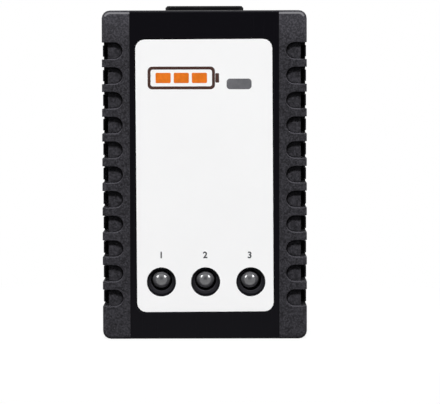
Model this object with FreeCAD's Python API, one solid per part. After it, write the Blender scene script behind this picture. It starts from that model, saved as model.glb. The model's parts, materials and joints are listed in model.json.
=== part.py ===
import FreeCAD, Part
import math
import os

# Balance battery charger: case, mains inlet, balance sockets, indicator lamps and the power circuit inside.
# Millimetres. X = width, -Y = labelled front, +Z = length with the mains inlet at the top end.

Vec = FreeCAD.Vector

# ---- case -------------------------------------------------------------------------------------------
WIDTH = 56.0
LENGTH = 90.0
DEPTH = 35.0
HALF_W = WIDTH / 2
HALF_D = DEPTH / 2
WALL = 2.0                  # side and end walls
FACE_WALL = 2.2             # front and back walls
CORNER_R = 2.2              # outline corners
CORNER_FLATS = 4            # flats that make up a quarter round
RIM_R = 1.0                 # rounded edge around the front and the back face
RIM_FLATS = 3
MID_Z = LENGTH / 2

# polished middle band, a little lower than the textured side bands
BAND_HALF_W = 20.4
BAND_STEP = 0.15

# tongue and groove along the seam (seam plane is Y = 0)
LIP_T = 0.9
LIP_H = 1.4
LIP_GAP = 0.06

# ---- vent pockets along both long edges ---------------------------------------------------------------
VENT_COUNT = 11
VENT_RISE = 0.13            # the rows' middle above the middle of the case
VENT_PITCH = 6.77
VENT_H = 4.65
VENT_REACH = 5.7            # from the side face to the crown of the round end
VENT_DEPTH = 1.3            # pocket floor below the face
VENT_FLATS = 8              # flats that make up the round end
SLOT_IN = 26.35             # inner edge of the air slot, measured from the middle plane
WINDOW_END_Y = 4.0          # the side window stops this far from the seam
TONGUE_H = 3.1              # thin tongue that half covers each side window
TONGUE_T = 0.6
TONGUE_END_Y = 10.5

# ---- label ------------------------------------------------------------------------------------------
LABEL_W = 37.4
LABEL_H = 74.6
LABEL_R = 2.5
LABEL_T = 0.16
LABEL_GAP = 0.35
LABEL_SINK = 0.2            # recess depth in the middle band
LABEL_Z = 44.8
LABEL_TILT = 0.24           # degrees, as stuck on by hand

# ---- indicator lamps ----------------------------------------------------------------------------------
LAMP_HOLES = ((-11.9, 15.7), (0.2, 15.7), (12.6, 15.7))    # punched in the label
HOLE_R = 3.95
WELL_RISE = 0.45            # the moulded wells sit a little higher than the label's holes
WELL_RIM_R = 3.7            # dished rim of a well
WELL_THROAT_R = 2.95
WELL_DISH = 1.2
WELL_TUBE_R = 4.5
LAMP_SHIFT = ((-0.05, 0.18), (-0.08, 0.18), (-0.3, 0.15))   # each lamp sits a little beside its well
LENS_R = 2.5
LENS_TIP_Y = -17.3
LENS_LEN = 8.6
LENS_RIM_R = 3.3
LENS_RIM_T = 1.0
WELL_END = LENS_TIP_Y + LENS_LEN - LENS_RIM_T    # the lens rim bears on the end of the well
LEAD_W = 0.5
LEAD_SPLIT = 1.27

# ---- circuit board --------------------------------------------------------------------------------------
BOARD_Y = 6.0               # component side
BOARD_T = 1.6
BOARD_W = 51.0
BOARD_Z0 = 3.2
BOARD_Z1 = 85.4
BOARD_BACK = BOARD_Y + BOARD_T

# ---- case screws ----------------------------------------------------------------------------------------
SCREW_X = 19.0
SCREW_Z = (7.0, 83.0)
SCREW_R = 1.3
SCREW_LEN = 10.0
HEAD_R = 2.5
HEAD_T = 1.8
SHELF_Y = 4.2               # screw shelf in the rear posts
SHELF_T = 1.9
POST_R = 3.5
FRONT_POST_R = 2.9
WELL_R = 2.75

# ---- mains inlet (two-pole, figure-eight) -----------------------------------------------------------------
INLET_W = 20.0
INLET_D = 12.0
INLET_Z0 = 72.0
COLLAR_W = 21.6
COLLAR_D = 13.0
COLLAR_H = 1.4
COLLAR_R = 1.2
COLLAR_EDGE = 0.5           # sloped edge around the collar's end
INLET_FLANGE_T = 1.6
INLET_LOBE_R = 3.95
INLET_PIN_X = 4.3
INLET_PIN_R = 1.2
INLET_CAVITY_DEPTH = 12.5
INLET_PIN_TIP = 2.4         # pin tip below the collar
TOP = LENGTH + COLLAR_H

# ---- balance sockets ------------------------------------------------------------------------------------
SOCKET_PITCH = 2.5
SOCKET_EXTRA = 4.9
SOCKET_Y0 = -0.4
SOCKET_Y1 = BOARD_Y
SOCKET_Z0 = 0.4
SOCKET_Z1 = 11.2
SOCKET_WALL = 0.85
SOCKET_CAVITY = 7.4
PIN_W = 0.64
SOCKETS = (("two_cell", 3, -8.0), ("three_cell", 4, 7.4))


# ---- small helpers ----------------------------------------------------------------------------------------
def block(x0, x1, y0, y1, z0, z1):
    """Box between two corners."""
    return Part.makeBox(x1 - x0, y1 - y0, z1 - z0, Vec(x0, y0, z0))


def upright(shape):
    """Turn a shape made along Y so that it stands along Z."""
    copy = shape.copy()
    copy.rotate(Vec(0, 0, 0), Vec(1, 0, 0), 90)
    return copy


def sideways(shape):
    """Turn a shape made along Y so that it lies along X."""
    copy = shape.copy()
    copy.rotate(Vec(0, 0, 0), Vec(0, 0, 1), -90)
    return copy


def post(x, z, r, y0, y1, sides=12):
    """Plain faceted post along Y."""
    return turned(x, z, [(r, y0), (r, y1)], sides)


def flat(corners):
    """Planar face through the corners."""
    return Part.Face(Part.makePolygon(corners + corners[:1]))


def stacked(rings):
    """Solid with flat sides between rings that have the same number of corners."""
    faces = [flat(rings[0]), flat(rings[-1])]
    for low, high in zip(rings, rings[1:]):
        for i in range(len(low)):
            k = (i + 1) % len(low)
            faces.append(flat([low[i], low[k], high[k], high[i]]))
    solid = Part.makeSolid(Part.makeShell(faces))
    return solid if solid.Volume > 0 else solid.reversed()


def turned(x, z, profile, sides=12):
    """Flat-sided turning about an axis along Y; the profile is a list of (radius, y) rings."""
    angles = [2 * math.pi * (i + 0.5) / sides for i in range(sides)]
    return stacked([[Vec(x + r * math.cos(a), y, z + r * math.sin(a)) for a in angles] for r, y in profile])


def outline(w, h, r, y, cx=0.0, cz=MID_Z):
    """Corners of a rounded rectangle in X-Z at height y."""
    corners = []
    for quarter, (sx, sz) in enumerate(((1, 1), (-1, 1), (-1, -1), (1, -1))):
        for i in range(CORNER_FLATS + 1):
            a = math.pi / 2 * (quarter + i / CORNER_FLATS)
            corners.append(Vec(cx + sx * (w / 2 - r) + r * math.cos(a), y, cz + sz * (h / 2 - r) + r * math.sin(a)))
    return corners


def bevelled(shape, size, axis):
    """Chamfer every straight edge that runs along the axis (0, 1 or 2)."""
    edges = []
    for edge in shape.Edges:
        way = edge.tangentAt(edge.FirstParameter)
        if abs(abs(way[axis]) - 1) < 1e-6:
            edges.append(edge)
    return shape.makeChamfer(size, edges)


def plate(w, h, r, y0, y1, cx=0.0, cz=MID_Z):
    """Rounded rectangle in X-Z, thickness along Y."""
    return stacked([outline(w, h, r, y0, cx, cz), outline(w, h, r, y1, cx, cz)])


def union(first, *rest):
    """Fuse solids and merge coplanar faces."""
    return first.multiFuse(list(rest)).removeSplitter()


def carve(shape, *tools):
    """Cut a list of tools from the shape."""
    return shape.cut(Part.makeCompound(list(tools))) if tools else shape


def flip_y(shape):
    """Mirror on the seam plane."""
    return shape.mirror(Vec(0, 0, 0), Vec(0, 1, 0))


def save(node, *solids):
    """Write one STEP; several solids stay separate in a group."""
    loose = [piece for solid in solids for piece in solid.Solids]
    shape = loose[0] if len(loose) == 1 else Part.makeCompound(loose)
    assert shape.isValid(), node
    shape.exportStep(os.path.join("parts", node + ".step"))
    print(node, len(loose), round(shape.Volume, 1))


# ---- case halves, both made facing -Y ------------------------------------------------------------------------
def vent_rows():
    """Middle heights of the vent pockets."""
    first = MID_Z + VENT_RISE - VENT_PITCH * (VENT_COUNT - 1) / 2
    return [first + VENT_PITCH * i for i in range(VENT_COUNT)]


def vent_tools():
    """D-shaped pocket, air slot and tongued side window for every row on both sides."""
    tools = []
    h = VENT_H / 2
    round_x = HALF_W - VENT_REACH + h
    for z in vent_rows():
        for side in (-1, 1):
            bend = [math.pi / 2 + math.pi * i / VENT_FLATS for i in range(VENT_FLATS + 1)]
            outline = [Vec(round_x + h * math.cos(a), -HALF_D - 1, z + h * math.sin(a)) for a in bend]
            outline += [Vec(HALF_W + 1, -HALF_D - 1, z - h), Vec(HALF_W + 1, -HALF_D - 1, z + h)]
            pocket = flat(outline).extrude(Vec(0, 1 + VENT_DEPTH, 0))
            window = block(SLOT_IN, HALF_W + 1, -HALF_D - 1, -WINDOW_END_Y, z - h, z + h)
            mouth = block(HALF_W - WALL - 0.6, SLOT_IN, -HALF_D + FACE_WALL, -WINDOW_END_Y, z - h, z + h)
            tongue = block(HALF_W - TONGUE_T, HALF_W + 2, -TONGUE_END_Y, 0, z - TONGUE_H / 2, z + TONGUE_H / 2)
            tool = union(pocket, window, mouth).cut(tongue)
            if side < 0:
                tool = tool.mirror(Vec(0, 0, 0), Vec(1, 0, 0))
            tools.append(tool)
    return tools


def case_half():
    """Open tray with the rounded rim and the vents, without any inner posts."""
    rings = []
    for i in range(RIM_FLATS + 1):
        a = math.pi / 2 * i / RIM_FLATS
        inset = RIM_R * (1 - math.sin(a))
        rings.append(outline(WIDTH - 2 * inset, LENGTH - 2 * inset, CORNER_R - inset,
                             -HALF_D + RIM_R * (1 - math.cos(a))))
    tray = stacked(rings + [outline(WIDTH, LENGTH, CORNER_R, 0)])
    tray = tray.cut(plate(WIDTH - 2 * WALL, LENGTH - 2 * WALL, CORNER_R - 1, -HALF_D + FACE_WALL, 1))
    return carve(tray, *vent_tools())


def seam_ring(outer_extra, inner_extra, y0, y1):
    """Frame-shaped ring that follows the inner wall of the case."""
    w = WIDTH - 2 * WALL
    h = LENGTH - 2 * WALL
    r = CORNER_R - 1
    outer = plate(w + 2 * outer_extra, h + 2 * outer_extra, r + outer_extra, y0, y1)
    inner = plate(w + 2 * inner_extra, h + 2 * inner_extra, r + inner_extra, y0 - 1, y1 + 1)
    return outer.cut(inner)


def port_tools():
    """Cut-outs in the end walls for the inlet and the two sockets."""
    tools = [block(-INLET_W / 2 - 0.1, INLET_W / 2 + 0.1, -INLET_D / 2 - 0.1, INLET_D / 2 + 0.1,
                   LENGTH - WALL - 0.5, LENGTH + 1)]
    for _, poles, x in SOCKETS:
        half = (SOCKET_PITCH * (poles - 1) + SOCKET_EXTRA) / 2 + 0.12
        tools.append(block(x - half, x + half, SOCKET_Y0 - 0.12, SOCKET_Y1 + 0.12, -1, WALL + 0.5))
    return tools


def screw_spots():
    """X and Z of the four case screws."""
    return [(sx * SCREW_X, z) for z in SCREW_Z for sx in (-1, 1)]


def front_shell():
    """Front half: lamp wells, label recess, screw posts and hold-down ribs."""
    shell = case_half()
    inner = -HALF_D + FACE_WALL
    adds = []
    cuts = port_tools()
    cuts.append(seam_ring(LIP_T + LIP_GAP, -0.5, -LIP_H - LIP_GAP, 1))
    cuts.append(block(-BAND_HALF_W, BAND_HALF_W, -HALF_D - 1, -HALF_D + BAND_STEP, -1, LENGTH + 1))
    sink = -HALF_D + BAND_STEP + LABEL_SINK
    cuts.append(plate(LABEL_W + 2 * LABEL_GAP, LABEL_H + 2 * LABEL_GAP, LABEL_R + LABEL_GAP,
                      -HALF_D - 1, sink, 0, LABEL_Z))
    for x, label_z in LAMP_HOLES:
        z = label_z + WELL_RISE
        adds.append(post(x, z, WELL_TUBE_R, inner - 0.2, WELL_END, 20))
        cuts.append(turned(x, z, [(WELL_RIM_R, sink - 0.5), (WELL_RIM_R, sink + 0.15),
                                  (WELL_THROAT_R, sink + WELL_DISH), (WELL_THROAT_R, WELL_END + 1)], 32))
    for x, z in screw_spots():
        adds.append(post(x, z, FRONT_POST_R, inner - 0.2, SHELF_Y))
        cuts.append(post(x, z, SCREW_R, inner + 3, SHELF_Y + 1, 8))
        end = 1 if z > MID_Z else -1
        wall_z = MID_Z + end * (LENGTH / 2 - WALL)
        adds.append(block(x - 0.5, x + 0.5, inner - 0.2, -4, min(z, wall_z), max(z, wall_z)))
    # ribs that hold the inlet and the sockets down on the board
    for z in (75.5, 83.5):
        adds.append(block(-11.5, 11.5, inner - 0.2, -INLET_D / 2, z - 0.6, z + 0.6))
    adds.append(block(-13.0, 13.6, inner - 0.2, SOCKET_Y0, 6.4, 7.6))
    # board hold-down posts
    for x in (-21.6, 21.6):
        adds.append(turned(x, 58.6, [(2.0, inner - 0.2), (1.3, BOARD_Y)], 8))
    # stiffening ribs on the inside of the face
    for z in (26.0, 68.0):
        adds.append(block(-21.0, 21.0, inner - 0.2, inner + 1.3, z - 0.5, z + 0.5))
    return carve(union(shell, *adds), *cuts)


def rear_shell():
    """Back half: seam lip, board supports and screw wells."""
    shell = flip_y(case_half())
    inner = HALF_D - FACE_WALL
    adds = [seam_ring(LIP_T, 0.0, -LIP_H, 0.0)]
    cuts = port_tools()
    for x, z in screw_spots():
        adds.append(post(x, z, POST_R, SHELF_Y, inner + 0.2, 12))
        cuts.append(post(x, z, WELL_R, SHELF_Y + SHELF_T, HALF_D + 1, 20))
        cuts.append(post(x, z, SCREW_R + 0.15, SHELF_Y - 1, SHELF_Y + SHELF_T + 1))
    # board supports with thin gussets
    for z in (22.0, 45.0, 66.0):
        for x in (-21.6, 21.6):
            adds.append(post(x, z, 2.0, BOARD_BACK, inner + 0.2, 8))
            adds.append(block(x - 0.45, x + 0.45, BOARD_BACK + 2, inner + 0.2, z - 3.2, z + 3.2))
    for z in (33.5, 55.5):
        adds.append(block(-21.0, 21.0, inner - 1.3, inner + 0.2, z - 0.5, z + 0.5))
    shell = carve(union(shell, *adds), *cuts)
    return shell


def front_label():
    """Sticker in its recess, punched for the three lamps."""
    y0 = -HALF_D + BAND_STEP + LABEL_SINK - LABEL_T
    sheet = plate(LABEL_W, LABEL_H, LABEL_R, y0, y0 + LABEL_T, 0, LABEL_Z)
    sheet.rotate(Vec(0, 0, LABEL_Z), Vec(0, -1, 0), LABEL_TILT)
    return carve(sheet, *[post(x, z, HOLE_R + 0.05, y0 - 1, y0 + 1, 32) for x, z in LAMP_HOLES])


def case_screws():
    """Four self-tapping screws with cross recess, heads at the bottom of the rear wells."""
    seat = SHELF_Y + SHELF_T
    screws = []
    for x, z in screw_spots():
        head = turned(x, z, [(HEAD_R, seat), (HEAD_R, seat + 1.2), (HEAD_R - 0.6, seat + HEAD_T)], 16)
        shank = turned(x, z, [(0.3, seat - SCREW_LEN), (SCREW_R, seat - SCREW_LEN + 1.2), (SCREW_R, seat)], 8)
        slot_a = block(x - 0.35, x + 0.35, seat + 0.7, seat + 3, z - 1.5, z + 1.5)
        slot_b = block(x - 1.5, x + 1.5, seat + 0.7, seat + 3, z - 0.35, z + 0.35)
        screws.append(carve(union(head, shank), slot_a, slot_b))
    return screws


# ---- mains inlet -------------------------------------------------------------------------------------------
def inlet_pin(side):
    """Contact pin with a rounded tip and a flat tail bent down through the board."""
    x = side * INLET_PIN_X
    tip = TOP - INLET_PIN_TIP
    foot = INLET_Z0 - 1.2
    pin = turned(x, 0, [(INLET_PIN_R, foot), (INLET_PIN_R, tip - 0.8), (INLET_PIN_R * 0.8, tip - 0.3),
                        (INLET_PIN_R * 0.45, tip)], 16)
    pin = upright(pin)
    tail = block(x - 0.7, x + 0.7, 0, BOARD_BACK + 1.2, foot, foot + 0.8)
    return union(pin, tail)


def mains_inlet_housing():
    """Moulded inlet: collar outside the wall, flange inside, figure-eight cavity."""
    body = upright(plate(INLET_W, INLET_D, 0.6, INLET_Z0, LENGTH, 0, 0))
    collar = upright(stacked([outline(COLLAR_W, COLLAR_D, COLLAR_R, LENGTH, 0, 0),
                              outline(COLLAR_W, COLLAR_D, COLLAR_R, TOP - COLLAR_EDGE, 0, 0),
                              outline(COLLAR_W - 2 * COLLAR_EDGE, COLLAR_D - 2 * COLLAR_EDGE,
                                      COLLAR_R - COLLAR_EDGE, TOP, 0, 0)]))
    z1 = LENGTH - WALL
    flange = block(-COLLAR_W / 2, COLLAR_W / 2, -COLLAR_D / 2, INLET_D / 2, z1 - INLET_FLANGE_T, z1)
    solid = union(body, collar, flange)
    floor = TOP - INLET_CAVITY_DEPTH
    lobes = [upright(post(sx * INLET_PIN_X, 0, INLET_LOBE_R, floor, TOP + 1, 24)) for sx in (-1, 1)]
    cavity = union(*lobes, block(-INLET_PIN_X, INLET_PIN_X, -2.6, 2.6, floor, TOP + 1))
    pins = [inlet_pin(side) for side in (-1, 1)]
    hollow = [block(sx * 9.0 - 0.5 if sx < 0 else 8.5, -8.5 if sx < 0 else 9.5, -4.6, 4.6,
                    INLET_Z0 - 1, z1 - INLET_FLANGE_T - 3) for sx in (-1, 1)]
    return carve(solid, cavity, *pins, *hollow)


# ---- balance sockets ------------------------------------------------------------------------------------------
def pin_row(poles, x):
    """Middle X of each contact in a socket."""
    return [x + SOCKET_PITCH * (i - (poles - 1) / 2) for i in range(poles)]


def socket_pins(poles, x):
    """Square pins bent down through the board behind the housing."""
    y = (SOCKET_Y0 + SOCKET_Y1) / 2 - 0.2
    h = PIN_W / 2
    pins = []
    for px in pin_row(poles, x):
        straight = block(px - h, px + h, y - h, y + h, SOCKET_Z0 + 1.6, SOCKET_Z1 + 1.2)
        drop = block(px - h, px + h, y - h, BOARD_BACK + 1.0, SOCKET_Z1 + 1.2 - PIN_W, SOCKET_Z1 + 1.2)
        pins.append(union(straight, drop))
    return pins


def socket_housing(poles, x):
    """Side-entry housing: open mouth at the end of the case, two key slots, pins through the back."""
    half = (SOCKET_PITCH * (poles - 1) + SOCKET_EXTRA) / 2
    body = block(x - half, x + half, SOCKET_Y0, SOCKET_Y1, SOCKET_Z0, SOCKET_Z1)
    mouth = block(x - half + SOCKET_WALL, x + half - SOCKET_WALL, SOCKET_Y0 + SOCKET_WALL,
                  SOCKET_Y1 - SOCKET_WALL, SOCKET_Z0 - 1, SOCKET_Z0 + SOCKET_CAVITY)
    keys = []
    for sx in (-1, 1):
        kx = x + sx * (half - 2.2)
        keys.append(block(kx - 0.8, kx + 0.8, SOCKET_Y0 - 1, SOCKET_Y0 + SOCKET_WALL + 0.2,
                          SOCKET_Z0 - 1, SOCKET_Z0 + 5.2))
    step = block(x - half - 1, x + half + 1, SOCKET_Y0 - 1, SOCKET_Y0 + 1.5, SOCKET_Z0 + 9.4, SOCKET_Z1 + 1)
    return carve(body, mouth, step, *keys, *socket_pins(poles, x))


# ---- lamps -----------------------------------------------------------------------------------------------------
def lamp_axis(index):
    """X and Z of a lamp; each stands a little beside the middle of its well."""
    hole = LAMP_HOLES[index]
    shift = LAMP_SHIFT[index]
    return hole[0] + shift[0], hole[1] + WELL_RISE + shift[1]


def lamp_leads(index):
    """Two leads: a cup post and a plain post inside the lens, legs down through the board."""
    x, z = lamp_axis(index)
    base = LENS_TIP_Y + LENS_LEN
    h = LEAD_W / 2
    neck = base - 2.6
    leads = []
    for side, inner_end, head_y in ((-1, 0.3, 3.7), (1, 0.65, 4.1)):
        px = x + side * LEAD_SPLIT
        left, right = sorted((px + side * h, x + inner_end))
        leg = block(px - h, px + h, neck - 0.4, BOARD_BACK + 1.0, z - h, z + h)
        head = block(left, right, LENS_TIP_Y + head_y, neck, z - h, z + h)
        leads.append(union(leg, head))
    return leads


def lamp_lens(index):
    """Five millimetre domed lens with its rim, cast around the two leads."""
    x, z = lamp_axis(index)
    base = LENS_TIP_Y + LENS_LEN
    profile = []
    for step in (0.2, 0.45, 0.7, 1.0):
        angle = step * math.pi / 2
        profile.append((LENS_R * math.sin(angle), LENS_TIP_Y + LENS_R * (1 - math.cos(angle))))
    barrel = turned(x, z, profile + [(LENS_R, base)], 20)
    rim = turned(x, z, [(LENS_RIM_R, base - LENS_RIM_T), (LENS_RIM_R, base)], 20)
    return carve(union(barrel, rim), *lamp_leads(index))


# ---- circuit board and its parts ----------------------------------------------------------------------------------
LEG_W = 0.7                 # square leg of a through-hole part
LEG_TAIL = 0.9              # how far a leg stands out of the board's back

FUSE_SPOTS = ((-16.4, 67.4), (-16.4, 72.5))
FILTER_CAP_SPOTS = ((17.2, 63.2), (17.2, 73.2))
CHOKE_SPOTS = ((-8.25, 59.7), (-8.25, 65.1), (0.65, 59.7), (0.65, 65.1))
BRIDGE_SPOTS = ((7.0, 61.2), (11.0, 61.2), (7.0, 67.6), (11.0, 67.6))
BULK_SPOTS = ((13.1, 56.4), (18.1, 56.4))
WINDING_SPOTS = ((-12.0, 36.2), (-6.0, 36.2), (0.0, 36.2), (-12.0, 53.8), (-6.0, 53.8), (0.0, 53.8))
SWITCH_SPOTS = ((-18.8, 42.4), (-18.8, 45.0), (-18.8, 47.6))
OPTO_SPOTS = ((5.2, 34.2), (7.8, 34.2), (5.2, 41.8), (7.8, 41.8))
BRIDGING_SPOTS = ((5.9, 44.3), (5.9, 51.7))
DIODE_SPOTS = ((-20.0, 31.6), (-6.0, 31.6))
OUT_CAP_SPOTS = (((9.7, 29.6), (13.3, 29.6)), ((18.5, 29.6), (22.1, 29.6)))


def leg(x, z, y0=BOARD_Y, wide=LEG_W, deep=LEG_W):
    """Square leg from y0 down through the board."""
    return block(x - wide / 2, x + wide / 2, y0, BOARD_BACK + LEG_TAIL, z - deep / 2, z + deep / 2)


def legs(spots, y0=BOARD_Y):
    """One leg per spot."""
    return [leg(x, z, y0) for x, z in spots]


def centre(spots):
    """Middle of a group of leg spots."""
    return sum(x for x, _ in spots) / len(spots), sum(z for _, z in spots) / len(spots)


def all_legs():
    """Every leg that passes through the board, for drilling it."""
    found = []
    groups = (FUSE_SPOTS, FILTER_CAP_SPOTS, CHOKE_SPOTS, BRIDGE_SPOTS, BULK_SPOTS, WINDING_SPOTS,
              SWITCH_SPOTS, OPTO_SPOTS, BRIDGING_SPOTS, DIODE_SPOTS) + OUT_CAP_SPOTS
    for group in groups:
        found.extend(legs(group))
    found.extend(inlet_pin(side) for side in (-1, 1))
    for _, poles, x in SOCKETS:
        found.extend(socket_pins(poles, x))
    for index in range(len(LAMP_HOLES)):
        found.extend(lamp_leads(index))
    return found


def main_circuit_board():
    """Board with a close hole for every leg, corner notches round the screw posts and an isolation slot."""
    mid = (BOARD_Z0 + BOARD_Z1) / 2
    board = plate(BOARD_W, BOARD_Z1 - BOARD_Z0, 1.0, BOARD_Y, BOARD_BACK, 0, mid)
    notch = POST_R + 0.3
    cuts = []
    for x, z in screw_spots():
        side = 1 if x > 0 else -1
        left, right = sorted((x - side * notch, side * BOARD_W))
        low, high = (z - notch, LENGTH) if z > MID_Z else (0, z + notch)
        cuts.append(block(left, right, BOARD_Y - 1, BOARD_BACK + 1, low, high))
    cuts.append(block(5.8, 7.2, BOARD_Y - 1, BOARD_BACK + 1, 35.6, 40.4))
    return carve(board, *cuts, *all_legs())


def mains_fuse():
    """Small box fuse."""
    x, z = centre(FUSE_SPOTS)
    body = bevelled(block(x - 2.0, x + 2.0, BOARD_Y - 7.7, BOARD_Y, z - 4.25, z + 4.25), 0.4, 1)
    return union(body, *legs(FUSE_SPOTS))


def input_filter_capacitor():
    """Box film capacitor across the mains line, on two moulded feet."""
    x, z = centre(FILTER_CAP_SPOTS)
    box = bevelled(block(x - 2.8, x + 2.8, BOARD_Y - 11.0, BOARD_Y - 0.4, z - 6.2, z + 6.2), 0.4, 1)
    feet = [block(x - 2.6, x + 2.6, BOARD_Y - 0.5, BOARD_Y, z + s * 5.6 - 0.5, z + s * 5.6 + 0.5)
            for s in (-1, 1)]
    return union(box, *feet, *legs(FILTER_CAP_SPOTS, BOARD_Y - 1))


def choke_core():
    """Closed ferrite frame of the line choke."""
    x, z = centre(CHOKE_SPOTS)
    frame = block(x - 5.8, x + 5.8, BOARD_Y - 13.0, BOARD_Y - 0.8, z - 2.2, z + 2.2)
    window = block(x - 3.1, x + 3.1, BOARD_Y - 10.4, BOARD_Y - 3.4, z - 3, z + 3)
    return frame.cut(window)


def choke_windings():
    """Two coils on the frame's limbs, each with two legs."""
    core = choke_core()
    coils = []
    for pair in (CHOKE_SPOTS[:2], CHOKE_SPOTS[2:]):
        x, z = centre(pair)
        coil = bevelled(block(x - 2.4, x + 2.4, BOARD_Y - 10.2, BOARD_Y - 3.6, z - 3.3, z + 3.3), 0.9, 1)
        coils.append(union(coil, *legs(pair, BOARD_Y - 4.6)).cut(core))
    return coils


def bridge_rectifier():
    """Small moulded bridge with four legs."""
    x, z = centre(BRIDGE_SPOTS)
    body = block(x - 4.1, x + 4.1, BOARD_Y - 4.2, BOARD_Y - 0.9, z - 2.8, z + 2.8)
    arms = [block(px - 0.4, px + 0.4, BOARD_Y - 2.7, BOARD_Y - 2.2, *sorted((pz, z))) for px, pz in BRIDGE_SPOTS]
    return union(body, *arms, *legs(BRIDGE_SPOTS, BOARD_Y - 2.7))


def bulk_capacitor():
    """High-voltage storage capacitor, lying on the board with bent legs."""
    r = 6.25
    x, z = centre(BULK_SPOTS)
    y = BOARD_Y - r
    can = upright(post(0, 0, r, 0, 20.0, 24))
    can.translate(Vec(x, y, z - 21.8))
    wires = [block(px - 0.35, px + 0.35, y - 0.35, y + 0.35, z - 2.5, z + 0.35) for px, _ in BULK_SPOTS]
    return union(can, *wires, *legs(BULK_SPOTS, y - 0.35))


def transformer_core():
    """Ferrite double-E core with a centre limb."""
    x, z = centre(WINDING_SPOTS)
    frame = block(x - 9.5, x + 9.5, BOARD_Y - 18.4, BOARD_Y - 2.4, z - 2.4, z + 2.4)
    windows = [block(x + sx * 4.6 - 2.2, x + sx * 4.6 + 2.2, BOARD_Y - 15.9, BOARD_Y - 4.9, z - 3, z + 3)
               for sx in (-1, 1)]
    return carve(frame, *windows)


def transformer_bobbin():
    """Moulded spool: two flanges, a tube around the centre limb and two pin rails."""
    x, z = centre(WINDING_SPOTS)
    low, high = BOARD_Y - 15.8, BOARD_Y - 5.0
    pieces = [block(x - 3.2, x + 3.2, low, high, z - 3.2, z + 3.2)]
    for y0 in (low, high - 0.9):
        pieces.append(block(x - 6.7, x + 6.7, y0, y0 + 0.9, z - 7.6, z + 7.6))
    for s in (-1, 1):
        rail_z = z + s * 8.8
        pieces.append(block(x - 7.6, x + 7.6, BOARD_Y - 5.9, BOARD_Y, rail_z - 1.4, rail_z + 1.4))
    return carve(union(*pieces), transformer_core(), *legs(WINDING_SPOTS, -1.0))


def transformer_winding():
    """Wound copper under tape, with its six terminal pins in the rails."""
    x, z = centre(WINDING_SPOTS)
    low, high = BOARD_Y - 14.9, BOARD_Y - 5.9
    coil = bevelled(block(x - 6.3, x + 6.3, low, high, z - 7.0, z + 7.0), 1.6, 1)
    tube = block(x - 3.2, x + 3.2, low - 1, high + 1, z - 3.2, z + 3.2)
    return [carve(coil, tube, transformer_core())] + legs(WINDING_SPOTS, -1.0)


def clamp_hole():
    """Hole through the heat sink and the tab of the power switch."""
    hole = sideways(post(0, 0, 1.6, -4, 4))
    hole.translate(Vec(-22.0, BOARD_Y - 13.6, 45.0))
    return hole


def heat_sink():
    """Bent aluminium plate standing on the board, with the hole for the power switch's clamp."""
    sheet = union(block(-23.4, -22.0, BOARD_Y - 17.0, BOARD_Y, 36.4, 53.6),
                  block(-23.4, -21.0, BOARD_Y - 17.0, BOARD_Y - 15.6, 36.4, 53.6))
    return sheet.cut(clamp_hole())


def switching_transistor():
    """Power switch, metal tab against the heat sink, three legs in the board."""
    tab = block(-22.0, -20.8, BOARD_Y - 15.4, BOARD_Y - 3.0, 40.2, 49.8)
    tab = tab.cut(clamp_hole())
    body = block(-20.8, -17.4, BOARD_Y - 11.4, BOARD_Y - 3.0, 40.2, 49.8)
    return union(tab, body, *legs(SWITCH_SPOTS, BOARD_Y - 3.4))


def optocoupler():
    """Four-leg isolator across the slot in the board."""
    x, z = centre(OPTO_SPOTS)
    body = block(x - 2.3, x + 2.3, BOARD_Y - 4.0, BOARD_Y - 0.6, z - 3.0, z + 3.0)
    arms = [block(px - 0.35, px + 0.35, BOARD_Y - 2.6, BOARD_Y - 2.2, *sorted((pz, z))) for px, pz in OPTO_SPOTS]
    return union(body, *arms, *legs(OPTO_SPOTS, BOARD_Y - 2.6))


def bridging_capacitor():
    """Disc capacitor between the mains side and the output side."""
    x, z = centre(BRIDGING_SPOTS)
    disc = sideways(post(0, 0, 4.4, -1.6, 1.6, 16))
    disc.translate(Vec(x, BOARD_Y - 5.6, z))
    return union(disc, *legs(BRIDGING_SPOTS, BOARD_Y - 5.0))


def output_diode():
    """Axial rectifier for the charging side, lying on the board."""
    x, z = centre(DIODE_SPOTS)
    y = BOARD_Y - 2.6
    body = sideways(post(0, 0, 2.6, -4.6, 4.6, 16))
    body.translate(Vec(x, y, z))
    reach = DIODE_SPOTS[1][0] - x + LEG_W / 2
    wire = block(x - reach, x + reach, y - LEG_W / 2, y + LEG_W / 2, z - LEG_W / 2, z + LEG_W / 2)
    return union(body, wire, *legs(DIODE_SPOTS, y))


def output_capacitors():
    """Two smoothing capacitors standing on the board."""
    cans = []
    for spots in OUT_CAP_SPOTS:
        x, z = centre(spots)
        cans.append(union(post(x, z, 4.0, BOARD_Y - 13.0, BOARD_Y, 20), *legs(spots, BOARD_Y - 1)))
    return cans


def charge_controllers():
    """One eight-leg charge-control chip per cell."""
    chips = []
    z = 22.2
    for x in (-16.0, -3.6, 10.0):
        pieces = [block(x - 2.5, x + 2.5, BOARD_Y - 1.6, BOARD_Y - 0.1, z - 1.95, z + 1.95)]
        for i in range(4):
            px = x + 1.27 * (i - 1.5)
            pieces.append(block(px - 0.2, px + 0.2, BOARD_Y - 0.2, BOARD_Y, z - 3.0, z + 3.0))
        chips.append(union(*pieces))
    return chips


def charge_transistors():
    """One pass transistor per cell, tab flat on the board."""
    parts = []
    for x in (-9.4, 3.4, 16.6):
        body = block(x - 3.2, x + 3.2, BOARD_Y - 2.3, BOARD_Y - 0.5, 19.5, 24.5)
        tab = block(x - 2.6, x + 2.6, BOARD_Y - 0.5, BOARD_Y, 20.0, 25.4)
        feet = [block(x + s * 2.3 - 0.4, x + s * 2.3 + 0.4, BOARD_Y - 0.6, BOARD_Y, 18.2, 19.9) for s in (-1, 1)]
        parts.append(union(body, tab, *feet))
    return parts


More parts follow.
